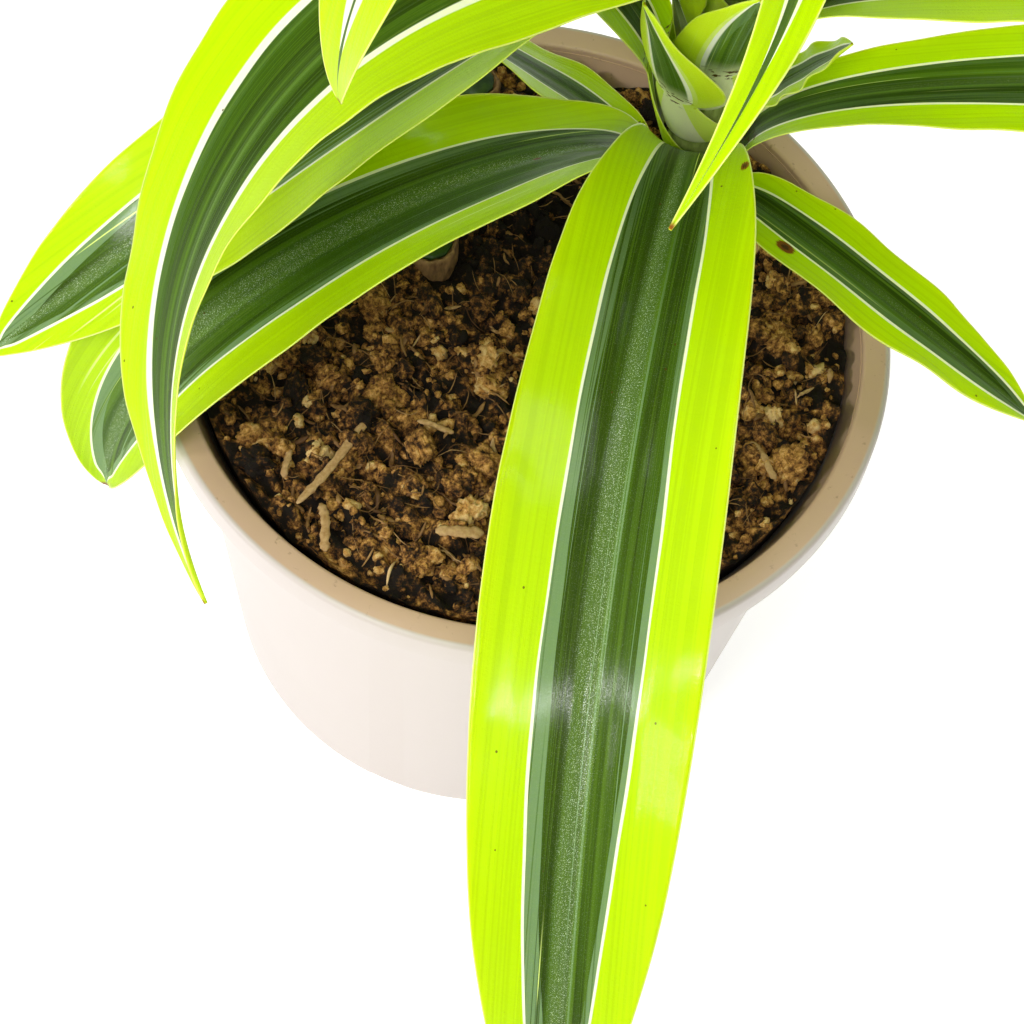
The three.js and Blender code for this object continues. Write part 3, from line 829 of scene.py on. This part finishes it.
def pot_cutters():
    """The drain holes and the notches of the foot."""
    tools = []
    radius = DRAIN["radius"] * MM
    hole = {"segments": 40, "radius1": radius, "radius2": radius, "depth": 3 * FLOOR * MM, "cap_ends": True}
    size = (2 * FOOT_NOTCH["depth"] * MM, FOOT_NOTCH["width"] * MM, 2 * FOOT_NOTCH["height"] * MM, 1)
    for i in range(DRAIN["count"]):
        angle = (i + 0.5) * TAU / DRAIN["count"]
        turn = Matrix.Rotation(angle, 4, "Z")
        centre = turn @ Matrix.Translation((DRAIN["ring"] * MM, 0, FLOOR / 2 * MM))
        tools.append(cutter(f"hole_{i}", bmesh.ops.create_cone, centre, hole))
        turn = Matrix.Rotation(angle + math.pi / 4, 4, "Z")
        centre = turn @ Matrix.Translation((BASE_RADIUS * MM, 0, 0)) @ Matrix.Diagonal(size)
        tools.append(cutter(f"notch_{i}", bmesh.ops.create_cube, centre, {"size": 1}))
    return tools


def make_pot():
    points, faces = turned(pot_profile(), POT_SIDES)
    piece = make_mesh("pot_shell", points, faces, pot_material())
    tools = pot_cutters()
    for tool in tools:
        modifier = piece.modifiers.new("cut", "BOOLEAN")
        modifier.operation = "DIFFERENCE"
        modifier.object = tool
    apply_modifiers(piece)
    for tool in tools:
        bpy.data.objects.remove(tool)
    piece.data.set_sharp_from_angle(angle=math.radians(40))
    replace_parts(piece, "pot")


def apply_modifiers(piece):
    bpy.context.view_layer.update()
    graph = bpy.context.evaluated_depsgraph_get()
    finished = bpy.data.meshes.new_from_object(piece.evaluated_get(graph))
    piece.modifiers.clear()
    piece.data = finished


# ---- Soil ----

SOIL_NOISE = ValueNoise(3)
SOIL_NOISE_FINE = ValueNoise(4)
PLANTS = [(CANE["x"], CANE["y"])] + [(stump["x"], stump["y"]) for stump in STUMPS.values()]
PLANT_CLEARANCE = 8.5
# Painted shadow: the soil between the cane and the first stump is darkened where the leaves above shade it.
SHADE_PATCH = {"x": 0, "y": 27, "width": 34, "depth": 24, "darkening": 0.35}
# Depth and pitch of the waves that make a ball uneven, both as shares of its size.
LUMP_WAVES = [(0.20, 2.2), (0.14, 4.5), (0.10, 8), (0.08, 12), (0.06, 18)]
# Name, count, fineness, smallest and largest size in millimetres, and seed.
CRUMBS = [
    ("soil_clods", 150, 4, 3.0, 5.6, 7),
    ("soil_lumps", 450, 3, 1.5, 3.2, 9),
    ("soil_crumbs", 2200, 2, 0.6, 2.0, 8),
]
FIBRES = 900
STRAW = {"half_height": 0.45, "sides": 10, "tone": 0.72}
# Straws that stand out on the soil: both ends as (x, y), then the width, in millimetres.
STRAWS = [
    ((-43, -56), (-30, -31), 2.2),
    ((-38, -54), (-34.5, -65), 2.4),
    ((-48, -39), (-46.5, -48), 1.8),
    ((-12, -58), (-1, -56), 3.0),
    ((-20, -30), (-11, -31), 1.6),
    ((72, 20), (66, 33), 1.6),
    ((55, -22), (62, -30), 1.8),
]


def soil_ripples(x, y):
    """The slow relief of the soil's solid."""
    ripples = (
        np.sin(0.31 * x + 1.1) * np.cos(0.27 * y - 0.4)
        + 0.8 * np.sin(0.52 * x - 0.41 * y + 2)
        + 0.6 * np.cos(0.83 * y + 0.36 * x)
        + 0.5 * np.sin(0.9 * x + 0.7 * y - 1.3)
    )
    return SOIL_LEVEL + CLOD_HEIGHT * ripples


def soil_height(x, y):
    lumps = 1 - np.abs(layered(SOIL_NOISE, x, y, 6.5, 3))
    return soil_ripples(x, y) + 2.2 * (lumps - 0.9) + 0.6 * layered(SOIL_NOISE_FINE, x, y, 1.6, 2)


def soil_edge(height):
    return wall_radius(height) - WALL - SOIL_GAP


def make_soil(material):
    sectors, rings = 420, 120
    angles = np.arange(sectors) * TAU / sectors
    radii = np.linspace(0, SOIL_RADIUS, rings + 1)[1:]
    x = radii[:, None] * np.cos(angles)
    y = radii[:, None] * np.sin(angles)
    top = np.stack([x, y, soil_height(x, y)], -1).reshape(-1, 3)
    below = []
    for height in (WALL_TOP, 8, 3):
        edge = soil_edge(height)
        below.append(np.stack([edge * np.cos(angles), edge * np.sin(angles), np.full(sectors, height)], 1))
    centre_height = float(soil_height(np.zeros(1), np.zeros(1))[0])
    points = np.concatenate([[[0, 0, centre_height]], top, *below, [[0, 0, 3]]])
    downwards = [(face[0], *face[:0:-1]) for face in ring_faces(sectors, rings + len(below))]
    # Painted shade: the bed's tone is darker in its hollows, below the slow relief.
    low = points[:, 2] - soil_ripples(points[:, 0], points[:, 1])
    # Painted shadow in the patch between the cane and the first stump.
    patch_shade = SHADE_PATCH["darkening"] * shade_patch_share(points[:, 0], points[:, 1])
    tones = np.clip(0.44 + 0.30 * low, 0.0, 0.8) - patch_shade
    piece = make_mesh("soil_bed", points, downwards, material, {"tone": tones})
    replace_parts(piece, "soil")


def ball(divisions):
    shape = bmesh.new()
    bmesh.ops.create_icosphere(shape, subdivisions=divisions, radius=1)
    points = np.array([vertex.co for vertex in shape.verts])
    faces = [[vertex.index for vertex in face.verts] for face in shape.faces]
    shape.free()
    return points, faces


def random_turn(rng):
    q = rng.normal(size=4)
    w, x, y, z = q / np.linalg.norm(q)
    spin = np.array([[0, -z, y], [z, 0, -x], [-y, x, 0]])
    return np.eye(3) + 2 * w * spin + 2 * spin @ spin


def free_place(rng, margin):
    """A random point of the soil that is clear of the wall, the cane and the stumps."""
    while True:
        radius = (SOIL_RADIUS - margin) * math.sqrt(rng.uniform())
        angle = rng.uniform(0, TAU)
        x, y = radius * math.cos(angle), radius * math.sin(angle)
        if all(math.hypot(x - px, y - py) > PLANT_CLEARANCE + margin for px, py in PLANTS):
            return x, y


def shade_patch_share(x, y):
    """1 in the soil between the cane and the first stump, which is darkened as painted shadow, 0 well away
    from it.
    """
    x, y = np.asarray(x, dtype=float), np.asarray(y, dtype=float)
    return np.clip(1.25 - np.hypot((x - SHADE_PATCH["x"]) / SHADE_PATCH["width"], (y - SHADE_PATCH["y"]) / SHADE_PATCH["depth"]), 0, 1)


def surface_at(x, y):
    return float(soil_height(np.array([x]), np.array([y]))[0])


class Heap:
    """Many small loose bodies that become one piece, each with a tone of its own."""

    def __init__(self):
        self.points, self.faces, self.tones = [], [], []
        self.total = 0

    def add(self, points, faces, tone):
        self.points.append(points)
        self.faces.extend(tuple(self.total + k for k in face) for face in faces)
        self.tones.append(np.full(len(points), tone))
        self.total += len(points)

    def make(self, name, material):
        attributes = {"tone": np.concatenate(self.tones)}
        make_mesh(name, np.concatenate(self.points), self.faces, material, attributes)


def make_crumbs(name, count, divisions, smallest, largest, seed, material):
    """Broken lumps, each an uneven ball sunk a little into the soil."""
    rng = np.random.default_rng(seed)
    base, faces = ball(divisions)
    heap = Heap()
    for _ in range(count):
        size = smallest * (largest / smallest) ** (rng.uniform() ** 1.3)
        x, y = free_place(rng, size)
        uneven = 1 + rng.normal(0, 0.03, len(base))
        for depth, pitch in LUMP_WAVES:
            uneven += depth * np.sin(base @ rng.normal(0, pitch, 3) + rng.uniform(0, TAU))
        scale = size * rng.uniform([0.7, 0.55, 0.45], [1.0, 0.9, 0.8])
        shape = (base * uneven[:, None] * scale) @ random_turn(rng).T
        height = surface_at(x, y) + size * rng.uniform(-0.15, 0.25)
        # Crumbs in the patch between the cane and the first stump get the same painted shadow.
        tone = np.clip(rng.normal(0.50, 0.19), 0.05, 0.95) - SHADE_PATCH["darkening"] * float(shade_patch_share(x, y))
        heap.add(shape + (x, y, height), faces, tone)
    heap.make(name, material)


def strip(path, half_width, half_height, sides, rng):
    """Points and faces of a ribbon or fibre along a path, pointed at both ends."""
    count = len(path)
    forward = np.gradient(path, axis=0)
    forward /= np.linalg.norm(forward, axis=1)[:, None]
    level = np.cross(forward, (0, 0, 1.0))
    level /= np.linalg.norm(level, axis=1)[:, None]
    up = np.cross(level, forward)
    angles = np.arange(sides) * TAU / sides + rng.uniform(0, 0.4)
    from_end = np.minimum(np.arange(count), np.arange(count)[::-1])
    taper = np.clip(from_end / 1.5, 0.3, 1) * rng.uniform(0.75, 1.1, count)
    taper = taper[:, None, None]
    rings = (
        path[:, None]
        + level[:, None] * (np.cos(angles) * half_width)[None, :, None] * taper
        + up[:, None] * (np.sin(angles) * half_height)[None, :, None] * taper
    )
    faces = []
    for i in range(count - 1):
        for j in range(sides):
            k = (j + 1) % sides
            faces.append((i * sides + j, i * sides + k, (i + 1) * sides + k, (i + 1) * sides + j))
    faces.append(tuple(range(sides))[::-1])
    faces.append(tuple((count - 1) * sides + j for j in range(sides)))
    return rings.reshape(-1, 3), faces


def straw_path(start, end):
    """A gently bent straw on the highest lump under it."""
    share = np.linspace(0, 1, 26)
    x = start[0] + (end[0] - start[0]) * share + 0.5 * np.sin(share * 5)
    y = start[1] + (end[1] - start[1]) * share + 0.4 * np.cos(share * 4)
    ground = max(surface_at(px, py) for px, py in zip(x, y))
    return np.stack([x, y, ground + 0.4 + 0.6 * np.sin(share * 3)], 1)


def fibre_path(length, most_bend, rng):
    """A bent fibre in a free place, sagging half way to the ground between its lumps."""
    x, y = free_place(rng, length / 2 + 1)
    heading = rng.uniform(0, TAU)
    bend = rng.normal(0, most_bend)
    share = np.linspace(-0.5, 0.5, 8)
    turns = heading + bend * share
    px = x + length * share * np.cos(turns)
    py = y + length * share * np.sin(turns)
    heights = np.array([surface_at(a, b) for a, b in zip(px, py)])
    resting = 0.5 * heights + 0.5 * heights.max()
    return np.stack([px, py, resting + rng.uniform(0.0, 0.7) + rng.normal(0, 0.4) * share], 1)


def make_fibres(material):
    """Straws, then chips and coir fibres at random. Every third one is a chip."""
    rng = np.random.default_rng(11)
    heap = Heap()
    for start, end, width in STRAWS:
        path = straw_path(start, end)
        heap.add(*strip(path, width / 2, STRAW["half_height"], STRAW["sides"], rng), STRAW["tone"])
    for i in range(FIBRES):
        chip = i % 3 == 0
        length = rng.uniform(2, 7) if chip else rng.uniform(3, 11)
        half_width = rng.uniform(0.25, 0.8) if chip else rng.uniform(0.07, 0.16)
        half_height = rng.uniform(0.2, 0.45) if chip else half_width
        path = fibre_path(length, 0.3 if chip else 0.6, rng)
        points, faces = strip(path, half_width, half_height, 6, rng)
        heap.add(points, faces, float(np.clip(rng.normal(0.38, 0.20), 0.0, 1)))
    heap.make("soil_fibres", material)


# ---- Canes ----


def roughened(points, seed, depth, wavelength):
    """Moves the points of an upright round body in and out a little, as bark is uneven."""
    noise = ValueNoise(seed)
    angle = np.arctan2(points[:, 1], points[:, 0])
    radius = np.hypot(points[:, 0], points[:, 1])
    swell = layered(noise, 6 * np.cos(angle) + 20, 6 * np.sin(angle) + points[:, 2] / wavelength, 1.0, 3)
    share = 1 + depth * swell / np.maximum(radius, 1) * (radius > 1)
    return points * np.stack([share, share, np.ones(len(points))], 1)


def make_cane():
    ringed = CANE["neck"] - CANE["bare"]
    step = ringed / CANE_RINGS["count"]
    profile = [(0, CANE["foot"]), (CANE["foot_radius"], CANE["foot"])]
    for height in np.arange(CANE["foot"] + 6, CANE["neck"], 0.8):
        above = max(height - CANE["bare"], 0)
        slow = CANE["foot_radius"] + (CANE["radius"] - CANE["foot_radius"]) * above / ringed
        ring = ((height - CANE["bare"]) / step) % 1
        swell = CANE_RINGS["depth"] * (min(ring / 0.8, 1) * 2 - 1) * (ring < 0.9)
        profile.append((slow + swell, height))
    for height in np.linspace(CANE["neck"], CANE["top"] - 6, 20):
        profile.append((CANE["radius"], height))
    profile += [(0.6 * CANE["radius"], CANE["top"] - 1.5), (0, CANE["top"])]
    points, faces = turned(profile, CANE_SIDES)
    points = roughened(points, 5, 0.25, 3.0) + (CANE["x"], CANE["y"], 0)
    bark = bark_material("cane_bark", CANE_TONES)
    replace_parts(make_mesh("cane_bark", points, faces, bark), "cane")


def at_stump(points, stump):
    """Sets points that were drawn on the vertical axis in a stump's place."""
    lean = Matrix.Rotation(math.radians(stump["lean"]), 3, "Y")
    turn = Matrix.Rotation(math.atan2(stump["y"], stump["x"]), 3, "Z")
    moved = (points - (0, 0, STUMP["top"])) @ np.array(turn @ lean).T
    return moved + (stump["x"], stump["y"], STUMP["top"])


def stump_profile(seat):
    """A stump with a shallow seat for the wax in its top."""
    side = [(STUMP["radius"], height) for height in np.linspace(STUMP["foot"] + 1, STUMP["top"] - 0.7, 60)]
    return [
        (0, STUMP["foot"]),
        (STUMP["radius"] - 0.6, STUMP["foot"]),
        *side,
        (STUMP["radius"] - 0.25, STUMP["top"] - 0.2),
        (STUMP["radius"] - 0.6, STUMP["top"]),
        (WAX["radius"] + HOLE_GAP + 0.1, STUMP["top"] - 0.1),
        (WAX["radius"] + HOLE_GAP, seat),
        (0, seat),
    ]


def wax_profile(seat):
    """A cap of wax with a low dome."""
    foot = seat + HOLE_GAP
    cap = [(0, foot), (WAX["radius"], foot), (WAX["radius"], STUMP["top"] - 0.1)]
    for k in range(1, 9):
        angle = k / 9 * math.pi / 2
        dome = STUMP["top"] + WAX["dome"] * math.sin(angle) * 0.95
        cap.append((WAX["radius"] * math.cos(angle), dome))
    cap.append((0, STUMP["top"] + WAX["dome"]))
    return cap


def make_stumps():
    bark = bark_material("stump_bark", STUMP_TONES)
    wax = wax_material()
    seat = STUMP["top"] - WAX["depth"]
    for number, stump in STUMPS.items():
        points, faces = turned(stump_profile(seat), CANE_SIDES)
        points = at_stump(roughened(points, 20 + int(number), 0.3, 2.5), stump)
        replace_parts(make_mesh(f"stump_{number}_bark", points, faces, bark), f"stump_{number}")
        points, faces = turned(wax_profile(seat), CANE_SIDES)
        points = at_stump(roughened(points, 30 + int(number), 0.2, 1.5), stump)
        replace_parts(make_mesh(f"wax_cap_{number}_seal", points, faces, wax), f"wax_cap_{number}")


# ---- Stage ----

IMAGE_WIDTH = 1024
SENSOR = 36
CAMERA_PLACE = Vector((0, -364, 705))
CAMERA_TARGET = Vector((4, -50, 130))
CAMERA_ROLL = -9.3
FOCAL_PIXELS = 2974
FLOOR_REACH = 4
SKY_STRENGTH = 0.35
# Name, place and target in metres, width and height of the panel in metres, and power in watts.
LIGHTS = [
    ("key", (-0.25, -1.12, 1.70), (0, 0, 0.13), 0.9, 0.12, 12),
    ("left", (-1.60, -0.80, 0.9), (0, 0, 0.13), 0.35, 0.25, 11),
    ("overhead", (0.1, 0.3, 1.5), (0, 0, 0.13), 0.8, 0.8, 10),
    ("front_left", (-0.80, -1.15, 1.25), (0, 0, 0.10), 0.5, 0.5, 8),
]


def make_camera():
    data = bpy.data.cameras.new("camera")
    data.sensor_width = SENSOR
    data.lens = FOCAL_PIXELS * SENSOR / IMAGE_WIDTH
    data.clip_start = 0.01
    data.clip_end = 20
    forward = (CAMERA_TARGET - CAMERA_PLACE).normalized()
    right = forward.cross(Vector((0, 0, 1))).normalized()
    roll = Matrix.Rotation(math.radians(CAMERA_ROLL), 3, forward)
    right = roll @ right
    up = right.cross(forward)
    turn = Matrix((right, up, -forward)).transposed().to_4x4()
    camera = linked("camera", data)
    camera.matrix_world = Matrix.Translation(CAMERA_PLACE * MM) @ turn
    bpy.context.scene.camera = camera


def make_light(name, place, target, width, height, power):
    data = bpy.data.lights.new(name, "AREA")
    data.shape = "RECTANGLE"
    data.size = width
    data.size_y = height
    data.energy = power
    light = linked(name, data)
    light.location = place
    light.rotation_euler = (Vector(target) - Vector(place)).to_track_quat("-Z", "Y").to_euler()


def make_floor():
    corners = [(x * FLOOR_REACH, y * FLOOR_REACH, 0) for x, y in ((-1, -1), (1, -1), (1, 1), (-1, 1))]
    mesh = bpy.data.meshes.new("floor")
    mesh.from_pydata(corners, [], [(0, 1, 2, 3)])
    floor = linked("floor", mesh)
    s = Surface("floor_white", Roughness=0.9, Base_Color=(0.9, 0.9, 0.9, 1), Emission_Strength=0.5)
    s.shader.inputs["Emission Color"].default_value = (1, 1, 1, 1)
    mesh.materials.append(s.material)


def make_stage():
    make_floor()
    world = bpy.data.worlds.new("studio")
    world.use_nodes = True
    background = world.node_tree.nodes["Background"]
    background.inputs["Color"].default_value = (1, 1, 1, 1)
    background.inputs["Strength"].default_value = SKY_STRENGTH
    bpy.context.scene.world = world
    for light in LIGHTS:
        make_light(*light)
    bpy.context.scene.view_settings.view_transform = "Standard"


# ---- Assembly ----

make_pot()
soil = soil_material()
make_soil(soil)
for crumbs in CRUMBS:
    make_crumbs(*crumbs, soil)
make_fibres(fibre_material())
make_cane()
make_stumps()
leaf_paint = leaf_material()
for number, (leaf_name, leaf) in enumerate({**LEAVES, **crown_leaves()}.items()):
    make_leaf(leaf_name, {**LEAF_DEFAULTS, **leaf}, number, leaf_paint)
make_stage()
make_camera()
